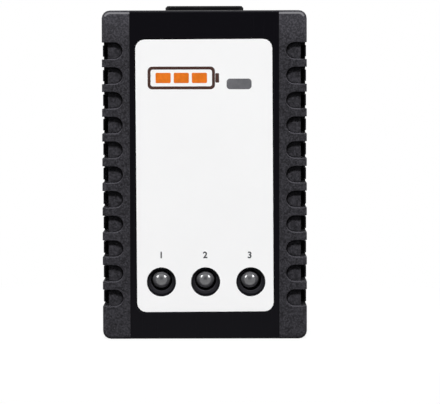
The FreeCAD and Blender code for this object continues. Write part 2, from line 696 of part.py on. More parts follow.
def main():
    """Write every sub-part."""
    os.makedirs("parts", exist_ok=True)
    save("front_shell", front_shell())
    save("rear_shell", rear_shell())
    save("front_label", front_label())
    save("case_screws", *case_screws())
    save("mains_inlet_housing", mains_inlet_housing())
    save("inlet_pin_left", inlet_pin(-1))
    save("inlet_pin_right", inlet_pin(1))
    for name, poles, x in SOCKETS:
        save(name + "_socket", socket_housing(poles, x))
        save(name + "_socket_pins", *socket_pins(poles, x))
    for index in range(len(LAMP_HOLES)):
        save("lamp_lens_%d" % (index + 1), lamp_lens(index))
        save("lamp_leads_%d" % (index + 1), *lamp_leads(index))
    save("main_circuit_board", main_circuit_board())
    save("mains_fuse", mains_fuse())
    save("input_filter_capacitor", input_filter_capacitor())
    save("choke_core", choke_core())
    save("choke_windings", *choke_windings())
    save("bridge_rectifier", bridge_rectifier())
    save("bulk_capacitor", bulk_capacitor())
    save("transformer_core", transformer_core())
    save("transformer_bobbin", transformer_bobbin())
    save("transformer_winding", *transformer_winding())
    save("heat_sink", heat_sink())
    save("switching_transistor", switching_transistor())
    save("optocoupler", optocoupler())
    save("bridging_capacitor", bridging_capacitor())
    save("output_diode", output_diode())
    save("output_capacitors", *output_capacitors())
    save("charge_controllers", *charge_controllers())
    save("charge_transistors", *charge_transistors())


main()
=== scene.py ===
"""Looks of the balance battery charger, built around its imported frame. Metres throughout."""

import functools
import json
import logging
import math
from dataclasses import dataclass
from dataclasses import field
from enum import Enum

import bmesh
import bpy
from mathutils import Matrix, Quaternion
from mathutils import Vector


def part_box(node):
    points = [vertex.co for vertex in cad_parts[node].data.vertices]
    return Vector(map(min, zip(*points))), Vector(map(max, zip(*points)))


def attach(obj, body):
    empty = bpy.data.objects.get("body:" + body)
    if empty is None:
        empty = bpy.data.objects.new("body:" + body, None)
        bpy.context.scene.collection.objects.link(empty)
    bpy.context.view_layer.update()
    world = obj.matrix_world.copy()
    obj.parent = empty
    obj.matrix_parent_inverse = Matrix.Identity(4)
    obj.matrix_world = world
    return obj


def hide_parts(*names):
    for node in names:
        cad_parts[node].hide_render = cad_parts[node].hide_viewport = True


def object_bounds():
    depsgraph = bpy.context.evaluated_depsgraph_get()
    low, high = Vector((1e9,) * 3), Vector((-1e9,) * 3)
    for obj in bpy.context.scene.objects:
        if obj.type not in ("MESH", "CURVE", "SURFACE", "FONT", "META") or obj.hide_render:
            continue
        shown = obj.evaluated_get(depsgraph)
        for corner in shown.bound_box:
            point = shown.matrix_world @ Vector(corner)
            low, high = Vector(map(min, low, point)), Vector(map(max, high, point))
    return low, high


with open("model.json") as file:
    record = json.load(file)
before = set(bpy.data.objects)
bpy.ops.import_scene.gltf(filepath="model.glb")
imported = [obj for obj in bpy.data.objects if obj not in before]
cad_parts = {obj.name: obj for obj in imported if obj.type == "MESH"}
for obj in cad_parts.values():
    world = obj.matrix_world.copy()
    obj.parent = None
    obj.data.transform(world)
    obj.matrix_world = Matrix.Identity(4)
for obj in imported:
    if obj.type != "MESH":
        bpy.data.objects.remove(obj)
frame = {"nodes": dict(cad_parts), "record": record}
CAD_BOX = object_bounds()
MM = 0.001
CELLS = 3
LOG = logging.getLogger("charger")

Colour = tuple[float, float, float]
Point = tuple[float, float]
Place = tuple[float, float, float]
Socket = bpy.types.NodeSocket
Value = Socket | float | tuple[float, ...]


# ---- shader graphs -----------------------------------------------------------------------------------

class Graph:
    """Thin helper that adds and links nodes in one node tree."""

    # Where the colour sockets stand on the Mix node.
    MIX_FACTOR, MIX_FIRST, MIX_SECOND, MIX_RESULT = 0, 6, 7, 2

    def __init__(self, tree: bpy.types.NodeTree) -> None:
        """Start with an empty tree.

        Args:
            tree: the material's, world's or group's node tree.
        """
        self.tree = tree
        self.tree.nodes.clear()

    def add(self, kind: str, settings: dict[str, object] | None = None, **inputs: Value) -> bpy.types.Node:
        """Add a node, set its properties and feed its inputs.

        Args:
            kind: the node's type name.
            settings: node properties by name.
            **inputs: values or output sockets by input name, with _ for a space.

        Returns:
            The new node.
        """
        node = self.tree.nodes.new(kind)
        for key, value in (settings or {}).items():
            setattr(node, key, value)
        for key, value in inputs.items():
            self.feed(node.inputs[key.replace("_", " ")], value)
        return node

    def feed(self, socket: Socket, value: Value) -> None:
        """Link an output socket to an input, or set the input's own value.

        Args:
            socket: the input to feed.
            value: an output socket, a number, a vector or a colour.
        """
        if isinstance(value, bpy.types.NodeSocket):
            self.tree.links.new(value, socket)
        elif socket.type == "RGBA" and len(value) == 3:
            socket.default_value = (*value, 1.0)
        else:
            socket.default_value = value

    def math(self, operation: str, a: Value, b: Value = 0.0, clamp: bool = False) -> Socket:
        """Math on two values.

        Args:
            operation: the Math node's operation.
            a: first value or socket.
            b: second value or socket.
            clamp: keep the result between 0 and 1.

        Returns:
            The result's socket.
        """
        node = self.add("ShaderNodeMath", {"operation": operation, "use_clamp": clamp})
        self.feed(node.inputs[0], a)
        self.feed(node.inputs[1], b)
        return node.outputs[0]

    def ramp(self, value: Value, low: float, high: float, out_low: float = 0.0,
             out_high: float = 1.0) -> Socket:
        """Smooth step of a value from low..high to out_low..out_high.

        Args:
            value: the value to map.
            low: where the step starts.
            high: where the step ends.
            out_low: the result up to low.
            out_high: the result from high on.

        Returns:
            The result's socket.
        """
        node = self.add("ShaderNodeMapRange", {"interpolation_type": "SMOOTHSTEP"}, Value=value,
                        From_Min=low, From_Max=high, To_Min=out_low, To_Max=out_high)
        return node.outputs["Result"]

    def mix(self, factor: Value, a: Value, b: Value) -> Socket:
        """Mix two colours.

        Args:
            factor: the second colour's share, 0 to 1.
            a: first colour.
            b: second colour.

        Returns:
            The mixed colour's socket.
        """
        node = self.add("ShaderNodeMix", {"data_type": "RGBA"})
        self.feed(node.inputs[self.MIX_FACTOR], factor)
        self.feed(node.inputs[self.MIX_FIRST], a)
        self.feed(node.inputs[self.MIX_SECOND], b)
        return node.outputs[self.MIX_RESULT]

    def place(self) -> Socket:
        """Object-space position of the shaded point."""
        return self.add("ShaderNodeTexCoord").outputs["Object"]

    def normal(self) -> Socket:
        """Normal of the shaded face."""
        return self.add("ShaderNodeNewGeometry").outputs["Normal"]

    def axes(self, vector: Value) -> bpy.types.NodeOutputs:
        """X, Y and Z of a vector, by name."""
        return self.add("ShaderNodeSeparateXYZ", Vector=vector).outputs

    def effect(self, tree: bpy.types.NodeTree, **inputs: Value) -> bpy.types.Node:
        """Place a shared effect group with its own values."""
        return self.add("ShaderNodeGroup", {"node_tree": tree}, **inputs)

    def output(self, kind: str, shader: Socket) -> None:
        """End the graph with an output node of a kind, fed by a shader."""
        self.add(kind, Surface=shader)

    def seen(self) -> Socket:
        """Tell what is looked at from what only lights.

        Returns:
            A socket that is 1 for rays from the camera, off a shiny surface or through a clear one.
        """
        path = self.add("ShaderNodeLightPath")
        direct = self.math("MAXIMUM", path.outputs["Is Camera Ray"], path.outputs["Is Glossy Ray"])
        return self.math("MAXIMUM", direct, path.outputs["Is Transmission Ray"])


GroupParts = tuple[Graph, bpy.types.Node, bpy.types.Node]


def new_group(name: str, inputs: dict[str, float], outputs: dict[str, str]) -> GroupParts:
    """Make an empty effect group with named sockets.

    Args:
        name: the group's name.
        inputs: float inputs with their defaults.
        outputs: output names with their socket types.

    Returns:
        The group's graph, its input node and its output node.
    """
    tree = bpy.data.node_groups.new(name, "ShaderNodeTree")
    graph = Graph(tree)
    for key, default in inputs.items():
        socket = tree.interface.new_socket(key, in_out="INPUT", socket_type="NodeSocketFloat")
        socket.default_value = default
    for key, kind in outputs.items():
        tree.interface.new_socket(key, in_out="OUTPUT", socket_type=kind)
    return graph, graph.add("NodeGroupInput"), graph.add("NodeGroupOutput")


@functools.cache
def mould_grain() -> bpy.types.NodeTree:
    """Spark-eroded mould texture: pits of two sizes.

    Returns:
        The group, which puts out a Height and a Speckle mask.
    """
    graph, given, made = new_group("MouldGrain", {"Size": 0.0003, "Coarse": 0.5},
                                   {"Height": "NodeSocketFloat", "Speckle": "NodeSocketFloat"})
    scale = graph.math("DIVIDE", 1.0, given.outputs["Size"])
    place = graph.place()
    fine = graph.add("ShaderNodeTexNoise", Vector=place, Scale=scale, Detail=3.0, Roughness=0.65)
    wide = graph.math("MULTIPLY", scale, 0.31)
    cells = graph.add("ShaderNodeTexVoronoi", {"feature": "SMOOTH_F1"}, Vector=place, Scale=wide,
                      Smoothness=0.7)
    coarse = graph.math("MULTIPLY", cells.outputs["Distance"], given.outputs["Coarse"])
    height = graph.math("ADD", fine.outputs["Fac"], coarse)
    graph.feed(made.inputs["Height"], height)
    graph.feed(made.inputs["Speckle"], graph.ramp(fine.outputs["Fac"], 0.42, 0.66))
    return graph.tree


@functools.cache
def rounded_edge() -> bpy.types.NodeTree:
    """Softened edges.

    Returns:
        The group, which puts out the softened Normal and an Edge mask that is 1 on sharp edges.
    """
    graph, given, made = new_group("RoundedEdge", {"Radius": 0.0002},
                                   {"Normal": "NodeSocketVector", "Edge": "NodeSocketFloat"})
    soft = graph.add("ShaderNodeBevel", {"samples": 6}, Radius=given.outputs["Radius"])
    dot = graph.add("ShaderNodeVectorMath", {"operation": "DOT_PRODUCT"})
    graph.feed(dot.inputs[0], soft.outputs[0])
    graph.feed(dot.inputs[1], graph.normal())
    edge = graph.ramp(graph.math("SUBTRACT", 1.0, dot.outputs["Value"]), 0.02, 0.3)
    graph.feed(made.inputs["Normal"], soft.outputs[0])
    graph.feed(made.inputs["Edge"], edge)
    return graph.tree


@functools.cache
def rounded_rim() -> bpy.types.NodeTree:
    """Faces that slope between a face of the case and its sides.

    Returns:
        The group, which puts out a Mask that is 1 where the slope lies between Low and High.
    """
    graph, given, made = new_group("RoundedRim", {"Low": 0.15, "High": 0.97}, {"Mask": "NodeSocketFloat"})
    facing = graph.math("ABSOLUTE", graph.axes(graph.normal())["Y"])
    above = graph.math("GREATER_THAN", facing, given.outputs["Low"])
    below = graph.math("LESS_THAN", facing, given.outputs["High"])
    graph.feed(made.inputs["Mask"], graph.math("MULTIPLY", above, below))
    return graph.tree


@functools.cache
def cavity() -> bpy.types.NodeTree:
    """Narrow corners and grooves, which the case paints darker as shade and leaves rougher.

    Returns:
        The group, which puts out a Mask that is 1 deep in a corner.
    """
    graph, given, made = new_group("Cavity", {"Reach": 0.0006}, {"Mask": "NodeSocketFloat"})
    open_sky = graph.add("ShaderNodeAmbientOcclusion", {"samples": 8, "only_local": True},
                         Distance=given.outputs["Reach"])
    graph.feed(made.inputs["Mask"], graph.ramp(open_sky.outputs["AO"], 0.6, 0.96, 1.0, 0.0))
    return graph.tree


@functools.cache
def dust() -> bpy.types.NodeTree:
    """Dust that settles in patches, more on faces that look up.

    Returns:
        The group, which puts out a Mask of the dust's cover.
    """
    graph, given, made = new_group("Dust", {"Size": 0.004, "Amount": 0.1}, {"Mask": "NodeSocketFloat"})
    scale = graph.math("DIVIDE", 1.0, given.outputs["Size"])
    place = graph.place()
    patch = graph.add("ShaderNodeTexNoise", Vector=place, Scale=scale, Detail=5.0, Roughness=0.7)
    fine = graph.math("MULTIPLY", scale, 9.0)
    specks = graph.add("ShaderNodeTexNoise", Vector=place, Scale=fine, Detail=1.0)
    upward = graph.ramp(graph.axes(graph.normal())["Z"], -0.6, 1.0, 0.35, 1.0)
    both = graph.math("MULTIPLY", graph.ramp(patch.outputs["Fac"], 0.45, 0.75),
                      graph.ramp(specks.outputs["Fac"], 0.35, 0.7))
    graph.feed(made.inputs["Mask"], graph.math("MULTIPLY", graph.math("MULTIPLY", both, upward),
                                               given.outputs["Amount"], clamp=True))
    return graph.tree


@functools.cache
def scratches() -> bpy.types.NodeTree:
    """Fine straight scratches in two crossing directions.

    Returns:
        The group, which puts out a Mask of the scratches.
    """
    graph, given, made = new_group("Scratches", {"Spacing": 0.0006, "Density": 0.3},
                                   {"Mask": "NodeSocketFloat"})
    scale = graph.math("DIVIDE", 1.0, given.outputs["Spacing"])
    place = graph.place()
    masks = []
    for turn in (0.5, -0.9):
        stretch = graph.add("ShaderNodeMapping", Vector=place, Rotation=(0.0, turn, turn * 0.6),
                            Scale=(1.0, 1.0, 0.03))
        lines = graph.add("ShaderNodeTexNoise", Vector=stretch.outputs[0], Scale=scale, Detail=2.0)
        masks.append(graph.ramp(lines.outputs["Fac"], 0.64, 0.72))
    total = graph.math("MAXIMUM", masks[0], masks[1])
    graph.feed(made.inputs["Mask"], graph.math("MULTIPLY", total, given.outputs["Density"], clamp=True))
    return graph.tree


@functools.cache
def mottle() -> bpy.types.NodeTree:
    """Slow variation over a surface.

    Returns:
        The group, which puts out a Value from 0 to 1.
    """
    graph, given, made = new_group("Mottle", {"Size": 0.01}, {"Value": "NodeSocketFloat"})
    scale = graph.math("DIVIDE", 1.0, given.outputs["Size"])
    slow = graph.add("ShaderNodeTexNoise", Vector=graph.place(), Scale=scale, Detail=4.0, Roughness=0.6)
    graph.feed(made.inputs["Value"], graph.ramp(slow.outputs["Fac"], 0.3, 0.7))
    return graph.tree


# ---- finishes ----------------------------------------------------------------------------------------

def scaled(colour: Colour, factor: float) -> Colour:
    """The colour made lighter or darker, kept at or under 1."""
    return tuple(min(1.0, channel * factor) for channel in colour)


@dataclass(frozen=True)
class Finish:
    """What every finish has: a name, a colour and a roughness."""

    name: str
    colour: Colour
    roughness: float = 0.5

    def start(self) -> tuple[bpy.types.Material, Graph, bpy.types.Node]:
        """Make the material with an output and one principled shader.

        Returns:
            The material, its graph and its shader node.
        """
        material = bpy.data.materials.new(self.name)
        material.use_nodes = True
        material.diffuse_color = (*self.colour, 1.0)
        graph = Graph(material.node_tree)
        shader = graph.add("ShaderNodeBsdfPrincipled", Base_Color=self.colour, Roughness=self.roughness)
        graph.output("ShaderNodeOutputMaterial", shader.outputs[0])
        return material, graph, shader

    def build(self) -> bpy.types.Material:
        """Make the finished material."""
        raise NotImplementedError


@dataclass(frozen=True)
class MouldedPlastic(Finish):
    """Injection-moulded plastic with mould grain, soft edges with a painted highlight, and a little dust."""

    grain: float = 0.00030
    relief: float = 0.00002
    edge_radius: float = 0.12 * MM
    # painted highlight: how much lighter sharp edges are painted
    edge_light: float = 1.5
    dust_amount: float = 0.05
    dust_colour: Colour = (0.42, 0.40, 0.38)
    specular: float = 0.4
    coat: float = 0.0

    def build(self) -> bpy.types.Material:
        """Make the finished material.

        Returns:
            The material.
        """
        material, graph, shader = self.start()
        grain = graph.effect(mould_grain(), Size=self.grain)
        edge = graph.effect(rounded_edge(), Radius=self.edge_radius)
        slow = graph.effect(mottle(), Size=0.009)
        speck = graph.effect(dust(), Amount=self.dust_amount)
        tone = graph.mix(slow.outputs["Value"], scaled(self.colour, 0.86), scaled(self.colour, 1.12))
        # painted highlight: sharp edges are painted lighter
        tone = graph.mix(graph.math("MULTIPLY", edge.outputs["Edge"], 0.6), tone,
                         scaled(self.colour, self.edge_light))
        tone = graph.mix(speck.outputs["Mask"], tone, self.dust_colour)
        rough = graph.ramp(grain.outputs["Speckle"], 0.0, 1.0, self.roughness - 0.05, self.roughness + 0.07)
        bump = graph.add("ShaderNodeBump", Strength=1.0, Distance=self.relief,
                         Height=grain.outputs["Height"], Normal=edge.outputs["Normal"])
        graph.feed(shader.inputs["Base Color"], tone)
        graph.feed(shader.inputs["Roughness"], rough)
        graph.feed(shader.inputs["Normal"], bump.outputs[0])
        shader.inputs["Specular IOR Level"].default_value = self.specular
        shader.inputs["Coat Weight"].default_value = self.coat
        return material


@dataclass(frozen=True)
class CasePlastic(Finish):
    """The case's black plastic: textured side bands and a polished middle band."""

    polished: Colour = (0.0052, 0.0049, 0.0066)
    polished_roughness: float = 0.2
    # painted highlight: colour of the upper rim and the collar's foot
    burnished: Colour = (0.19, 0.188, 0.20)
    dust_colour: Colour = (0.30, 0.29, 0.28)
    band_half_width: float = 20.4 * MM
    band_depth: float = 1.3 * MM
    band_blend: float = 0.04 * MM
    seam_half_width: float = 0.12 * MM
    collar_half_width: float = 10.9 * MM
    edge_radius: float = 0.35 * MM
    groove_reach: float = 0.7 * MM
    grain: float = 0.00055
    relief: float = 0.00007
    # painted light: how much lighter the upright faces are painted towards the top end
    end_wear: float = 0.78
    end_wear_from: float = 14 * MM
    end_wear_to: float = 1.5 * MM

    def band(self, graph: Graph) -> Socket:
        """Mask of the polished middle band on the front face.

        Args:
            graph: the material's graph.

        Returns:
            A socket that is 1 on the band.
        """
        axes = graph.axes(graph.place())
        across = graph.math("ABSOLUTE", axes["X"])
        inside = graph.ramp(across, self.band_half_width - self.band_blend,
                            self.band_half_width + self.band_blend, 1.0, 0.0)
        back = CAD_BOX[0].y + self.band_depth
        near_face = graph.ramp(axes["Y"], back, back + self.band_blend, 1.0, 0.0)
        return graph.math("MULTIPLY", inside, near_face)

    def seam(self, graph: Graph) -> Socket:
        """Mask of the parting line between the two halves of the case.

        Args:
            graph: the material's graph.

        Returns:
            A socket that is 1 along the middle of the line.
        """
        off_middle = graph.math("ABSOLUTE", graph.axes(graph.place())["Y"])
        return graph.ramp(off_middle, self.seam_half_width / 4, self.seam_half_width, 1.0, 0.0)

    def upper_rim(self, graph: Graph, band: Socket) -> Socket:
        """Mask of the upper rim and the collar's foot, painted light as a highlight from light above.

        Args:
            graph: the material's graph.
            band: mask of the polished middle band.

        Returns:
            A socket that is 1 on the painted rim highlight.
        """
        rim = graph.effect(rounded_rim(), Low=0.85, High=0.985)
        upward = graph.ramp(graph.axes(graph.normal())["Z"], 0.06, 0.16)
        across = graph.math("ABSOLUTE", graph.axes(graph.place())["X"])
        foot = graph.ramp(across, self.collar_half_width - 0.1 * MM, self.collar_half_width, 1.0, 0.0)
        kept = graph.math("MAXIMUM", graph.math("SUBTRACT", 1.0, band), foot)
        return graph.math("MULTIPLY", graph.math("MULTIPLY", rim.outputs["Mask"], upward), kept)

    def upper_lip(self, graph: Graph, soft_normal: Socket) -> Socket:
        """Mask of the edges that look up, painted lighter than the rest as a highlight from light above.

        Args:
            graph: the material's graph.
            soft_normal: the softened edge normal.

        Returns:
            A socket that is 1 on those edges.
        """
        facing = graph.math("ABSOLUTE", graph.axes(graph.normal())["Y"])
        on_face = graph.ramp(facing, 0.985, 0.995)
        return graph.math("MULTIPLY", graph.ramp(graph.axes(soft_normal)["Z"], 0.12, 0.5), on_face)

    def matt_tone(self, graph: Graph, speckle: Socket) -> Socket:
        """Colour of the textured bands: cloudy, speckled by the grain, with painted light that makes their
        upper end lighter.

        Args:
            graph: the material's graph.
            speckle: mask of the grain's raised spots.

        Returns:
            The colour's socket.
        """
        slow = graph.effect(mottle(), Size=0.0016)
        speck = graph.effect(dust(), Amount=0.04)
        tone = graph.mix(slow.outputs["Value"], scaled(self.colour, 0.5), scaled(self.colour, 1.15))
        tone = graph.mix(graph.math("MULTIPLY", speckle, 0.85), tone, scaled(self.colour, 2.0))
        upright = graph.ramp(graph.math("ABSOLUTE", graph.axes(graph.normal())["Y"]), 0.5, 0.9)
        # painted light: upright faces are painted lighter towards the top end, as if lit from above
        top = CAD_BOX[1].z
        top_light = graph.ramp(graph.axes(graph.place())["Z"], top - self.end_wear_from, top - self.end_wear_to,
                            0.0, self.end_wear)
        top_lit_tone = graph.mix(speckle, scaled(self.colour, 1.7), scaled(self.colour, 3.5))
        tone = graph.mix(graph.math("MULTIPLY", top_light, upright), tone, top_lit_tone)
        return graph.mix(speck.outputs["Mask"], tone, self.dust_colour)

    def polished_tone(self, graph: Graph, edge: Socket) -> Socket:
        """Colour of the polished band, with painted highlights on its edges and on the dished rims of the
        lamp wells.

        Args:
            graph: the material's graph.
            edge: mask of sharp edges.

        Returns:
            The colour's socket.
        """
        # painted highlight: edges of the polished band are painted lighter, and so are the dished rims of the
        # lamp wells
        tone = graph.mix(graph.math("MULTIPLY", edge, 0.3), self.polished, scaled(self.polished, 3.0))
        dish_highlight = graph.effect(rounded_rim(), Low=0.3, High=0.9)
        return graph.mix(graph.math("MULTIPLY", dish_highlight.outputs["Mask"], 0.6), tone, self.colour)

    def gloss(self, graph: Graph, speckle: Socket, highlit_edge: Socket, band: Socket) -> Socket:
        """Roughness: satin grain on the textured bands, hair-scratched polish between them.

        Args:
            graph: the material's graph.
            speckle: mask of the grain's raised spots.
            highlit_edge: mask of sharp edges, painted lighter as a highlight in the colour, and made glossier
                here.
            band: mask of the polished middle band.

        Returns:
            The roughness's socket.
        """
        slow = graph.effect(mottle(), Size=0.012)
        hair = graph.effect(scratches(), Density=0.35)
        matt = graph.ramp(speckle, 0.0, 1.0, self.roughness + 0.04, self.roughness - 0.06)
        matt = graph.math("SUBTRACT", matt, graph.math("MULTIPLY", highlit_edge, 0.3))
        waves = graph.math("MULTIPLY", slow.outputs["Value"], 0.04)
        polish = graph.math("ADD", graph.math("MULTIPLY", hair.outputs["Mask"], 0.2),
                            graph.math("ADD", waves, self.polished_roughness))
        gap = graph.math("SUBTRACT", polish, matt)
        return graph.math("ADD", matt, graph.math("MULTIPLY", gap, band))

    def build(self) -> bpy.types.Material:
        """Make the finished material.

        Returns:
            The material.
        """
        material, graph, shader = self.start()
        band = self.band(graph)
        seam = self.seam(graph)
        grain = graph.effect(mould_grain(), Size=self.grain, Coarse=0.7)
        edge = graph.effect(rounded_edge(), Radius=self.edge_radius)
        groove = graph.effect(cavity(), Reach=self.groove_reach)
        lip_highlight = self.upper_lip(graph, edge.outputs["Normal"])
        highlit_edge = graph.math("MULTIPLY", edge.outputs["Edge"], 0.5)
        matt = self.matt_tone(graph, grain.outputs["Speckle"])
        # painted highlight: sharp edges of the textured bands are painted lighter
        matt = graph.mix(highlit_edge, matt, scaled(self.colour, 2.2))
        # painted highlight: edge lips that look up are painted much lighter
        matt = graph.mix(lip_highlight, matt, scaled(self.colour, 3.6))
        tone = graph.mix(band, matt, self.polished_tone(graph, edge.outputs["Edge"]))
        tone = graph.mix(graph.math("MULTIPLY", seam, 0.85), tone, scaled(self.polished, 0.4))
        # painted shade: the case's colour is darkened deep in corners and grooves, except on the lit lips
        painted_corner_shade = graph.math("MULTIPLY", groove.outputs["Mask"], graph.math("SUBTRACT", 1.0, lip_highlight))
        tone = graph.mix(graph.math("MULTIPLY", painted_corner_shade, 0.85), tone, scaled(self.polished, 0.3))
        # painted highlight: the upper rim and the collar's foot are painted light grey
        tone = graph.mix(self.upper_rim(graph, band), tone, self.burnished)
        rough = self.gloss(graph, grain.outputs["Speckle"], highlit_edge, band)
        rough = graph.math("ADD", rough, graph.math("MULTIPLY", groove.outputs["Mask"], 0.3), clamp=True)
        height = graph.math("MULTIPLY", grain.outputs["Height"], graph.math("SUBTRACT", 1.0, band))
        height = graph.math("SUBTRACT", height, graph.math("MULTIPLY", seam, 3.0))
        bump = graph.add("ShaderNodeBump", Strength=1.0, Distance=self.relief, Height=height,
                         Normal=edge.outputs["Normal"])
        graph.feed(shader.inputs["Base Color"], tone)
        graph.feed(shader.inputs["Roughness"], rough)
        graph.feed(shader.inputs["Normal"], bump.outputs[0])
        shader.inputs["Specular IOR Level"].default_value = 0.05
        return material


@dataclass(frozen=True)
class LabelFilm(Finish):
    """Satin white sticker film with a faint fibre and a greyed cut edge."""

    cut_edge: Colour = (0.55, 0.55, 0.56)
    dust_colour: Colour = (0.6, 0.58, 0.55)

    def build(self) -> bpy.types.Material:
        """Make the finished material.

        Returns:
            The material.
        """
        material, graph, shader = self.start()
        fibre = graph.effect(mould_grain(), Size=0.00018, Coarse=0.2)
        slow = graph.effect(mottle(), Size=0.02)
        edge = graph.effect(rounded_edge(), Radius=0.00010)
        speck = graph.effect(dust(), Size=0.006, Amount=0.02)
        tone = graph.mix(slow.outputs["Value"], scaled(self.colour, 0.985), self.colour)
        tone = graph.mix(graph.math("MULTIPLY", edge.outputs["Edge"], 0.35), tone, self.cut_edge)
        tone = graph.mix(speck.outputs["Mask"], tone, self.dust_colour)
        rough = graph.ramp(fibre.outputs["Speckle"], 0.0, 1.0, self.roughness - 0.03, self.roughness + 0.05)
        bump = graph.add("ShaderNodeBump", Strength=0.6, Distance=0.000004, Height=fibre.outputs["Height"],
                         Normal=edge.outputs["Normal"])
        graph.feed(shader.inputs["Base Color"], tone)
        graph.feed(shader.inputs["Roughness"], rough)
        graph.feed(shader.inputs["Normal"], bump.outputs[0])
        shader.inputs["Specular IOR Level"].default_value = 0.1
        return material


@dataclass(frozen=True)
class Ink(Finish):
    """Screen-printed ink with slightly uneven cover."""

    def build(self) -> bpy.types.Material:
        """Make the finished material.

        Returns:
            The material.
        """
        material, graph, shader = self.start()
        slow = graph.effect(mottle(), Size=0.0015)
        fine = graph.effect(mould_grain(), Size=0.00012, Coarse=0.1)
        tone = graph.mix(slow.outputs["Value"], scaled(self.colour, 0.88), scaled(self.colour, 1.08))
        rough = graph.ramp(fine.outputs["Speckle"], 0.0, 1.0, self.roughness - 0.05, self.roughness + 0.05)
        graph.feed(shader.inputs["Base Color"], tone)
        graph.feed(shader.inputs["Roughness"], rough)
        return material


@dataclass(frozen=True)
class Metal(Finish):
    """Plated, drawn or rolled metal with scratches and slow tarnish."""

    tarnish: Colour = (0.30, 0.26, 0.20)
    scratch: float = 0.4

    def build(self) -> bpy.types.Material:
        """Make the finished material.

        Returns:
            The material.
        """
        material, graph, shader = self.start()
        slow = graph.effect(mottle(), Size=0.003)
        hair = graph.effect(scratches(), Spacing=0.00018, Density=self.scratch)
        edge = graph.effect(rounded_edge(), Radius=0.00008)
        tone = graph.mix(graph.math("MULTIPLY", slow.outputs["Value"], 0.22), self.colour, self.tarnish)
        rough = graph.math("ADD", graph.math("MULTIPLY", hair.outputs["Mask"], 0.25), self.roughness)
        graph.feed(shader.inputs["Base Color"], tone)
        graph.feed(shader.inputs["Roughness"], rough)
        graph.feed(shader.inputs["Normal"], edge.outputs["Normal"])
        shader.inputs["Metallic"].default_value = 1.0
        return material


@dataclass(frozen=True)
class LensEpoxy(Finish):
    """Grey diffused resin of an unlit lamp under a hard shine, with painted light in its underside, where
    light from above gathers.
    """

    coat_ior: float = 1.6
    coat_roughness: float = 0.05

    def build(self) -> bpy.types.Material:
        """Make the finished material.

        Returns:
            The material.
        """
        material, graph, shader = self.start()
        slow = graph.effect(mottle(), Size=0.0012)
        turned_away = graph.add("ShaderNodeLayerWeight", Blend=0.3)
        tone = graph.mix(slow.outputs["Value"], scaled(self.colour, 0.88), scaled(self.colour, 1.12))
        # painted light: the dome's sides, turned away from view, are painted lighter
        tone = graph.mix(turned_away.outputs["Facing"], tone, scaled(self.colour, 2.4))
        # painted light: the lower half of the dome is painted lighter, for the light from above that gathers
        # there
        underside = graph.ramp(graph.axes(graph.normal())["Z"], -0.9, -0.1, 0.8, 0.0)
        tone = graph.mix(underside, tone, scaled(self.colour, 4.0))
        ripple = graph.add("ShaderNodeBump", Strength=0.4, Distance=0.000003, Height=slow.outputs["Value"])
        graph.feed(shader.inputs["Base Color"], tone)
        graph.feed(shader.inputs["Normal"], ripple.outputs[0])
        shader.inputs["Specular IOR Level"].default_value = 0.3
        shader.inputs["Coat Weight"].default_value = 1.0
        shader.inputs["Coat IOR"].default_value = self.coat_ior
        shader.inputs["Coat Roughness"].default_value = self.coat_roughness
        return material


@dataclass(frozen=True)
class Laminate(Finish):
    """Circuit board: solder resist over copper tracks, with a fine glass weave."""

    copper: Colour = (0.07, 0.30, 0.12)
    track: float = 1.9 * MM
    weave: float = 0.5 * MM

    def build(self) -> bpy.types.Material:
        """Make the finished material.

        Returns:
            The material.
        """
        material, graph, shader = self.start()
        place = graph.place()
        cells = graph.add("ShaderNodeTexVoronoi", {"distance": "MANHATTAN"}, Vector=place,
                          Scale=1.0 / self.track, Randomness=0.55)
        track = graph.ramp(cells.outputs["Distance"], 0.34, 0.38)
        weave = graph.add("ShaderNodeTexBrick", Vector=place, Scale=1.0 / self.weave, Mortar_Size=0.04)
        tone = graph.mix(track, self.colour, self.copper)
        height = graph.math("ADD", graph.math("MULTIPLY", track, 0.7),
                            graph.math("MULTIPLY", weave.outputs["Fac"], 0.15))
        bump = graph.add("ShaderNodeBump", Strength=1.0, Distance=0.00003, Height=height)
        rough = graph.ramp(track, 0.0, 1.0, self.roughness, self.roughness - 0.1)
        graph.feed(shader.inputs["Base Color"], tone)
        graph.feed(shader.inputs["Roughness"], rough)
        graph.feed(shader.inputs["Normal"], bump.outputs[0])
        return material


@dataclass(frozen=True)
class Wound(Finish):
    """Layers of wire or tape that show as fine parallel bands."""

    turn: float = 0.4 * MM

    def build(self) -> bpy.types.Material:
        """Make the finished material.

        Returns:
            The material.
        """
        material, graph, shader = self.start()
        turns = graph.add("ShaderNodeTexWave", {"bands_direction": "Y"}, Vector=graph.place(),
                          Scale=1.0 / (6.3 * self.turn), Distortion=0.6, Detail=2.0)
        slow = graph.effect(mottle(), Size=0.004)
        tone = graph.mix(turns.outputs["Fac"], scaled(self.colour, 0.55), self.colour)
        tone = graph.mix(graph.math("MULTIPLY", slow.outputs["Value"], 0.3), tone, scaled(self.colour, 0.7))
        bump = graph.add("ShaderNodeBump", Strength=1.0, Distance=0.00008, Height=turns.outputs["Fac"])
        graph.feed(shader.inputs["Base Color"], tone)
        graph.feed(shader.inputs["Normal"], bump.outputs[0])
        return material


INK_ORANGE = Ink("orange_ink", (0.78, 0.18, 0.012), 0.35)
INK_GREY = Ink("grey_ink", (0.13, 0.13, 0.14), 0.4)
INK_BLACK = Ink("black_ink", (0.045, 0.045, 0.05), 0.4)
INK_DARK = Ink("dark_ink", (0.05, 0.02, 0.015), 0.4)

